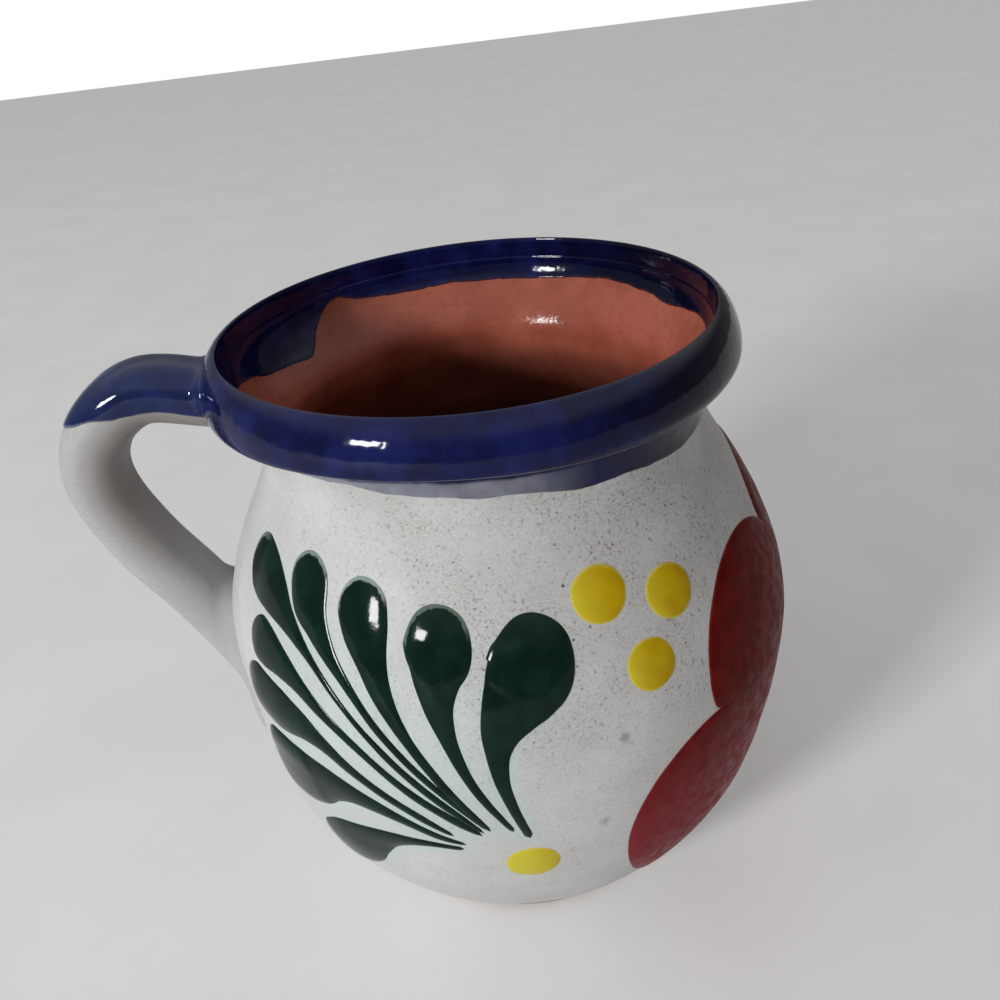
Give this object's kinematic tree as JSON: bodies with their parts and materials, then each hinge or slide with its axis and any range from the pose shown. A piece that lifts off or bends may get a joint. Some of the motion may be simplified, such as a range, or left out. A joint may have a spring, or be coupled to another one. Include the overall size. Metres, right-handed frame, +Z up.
{
  "type": "clay mug",
  "caption": "Pot-bellied clay mug with a rolled blue rim, a pulled strap handle and raised brush-painted leaves, dots and petals.",
  "frame": {"origin": "centre of the foot, on the table", "axes": "+Z up along the pot's axis, handle towards -X, flower towards +X, the spray that the picture shows towards -Y"},
  "size_m": [0.1231, 0.102, 0.109],
  "materials": {
    "clay": "matte fired red clay",
    "slip": "matte pale slip with fine dark specks",
    "blue_glaze": "glossy cobalt glaze",
    "clear_glaze": "glossy clear glaze over red clay",
    "green_paint": "glossy raised dark green",
    "yellow_paint": "satin raised yellow",
    "red_paint": "glossy raised dark red"
  },
  "bodies": {
    "root": {"clay_body": "clay", "slip_coat": "slip", "rim_glaze": "blue_glaze", "inner_glaze": "clear_glaze", "handle_strap": "clay", "upper_join": "clay", "lower_join": "clay", "handle_slip": "slip", "handle_glaze": "blue_glaze", "leaf_1": "green_paint", "leaf_2": "green_paint", "leaf_3": "green_paint", "leaf_4": "green_paint", "leaf_5": "green_paint", "leaf_6": "green_paint", "leaf_7": "green_paint", "leaf_8": "green_paint", "leaf_9": "green_paint", "back_leaf_1": "green_paint", "back_leaf_2": "green_paint", "back_leaf_3": "green_paint", "back_leaf_4": "green_paint", "back_leaf_5": "green_paint", "back_leaf_6": "green_paint", "back_leaf_7": "green_paint", "back_leaf_8": "green_paint", "back_leaf_9": "green_paint", "yellow_dots": "yellow_paint", "back_yellow_dots": "yellow_paint", "petal_top": "red_paint", "petal_upper": "red_paint", "petal_lower": "red_paint", "petal_bottom": "red_paint", "back_petal_upper": "red_paint", "back_petal_lower": "red_paint", "flower_eye": "yellow_paint"}
  },
  "joints": []
}
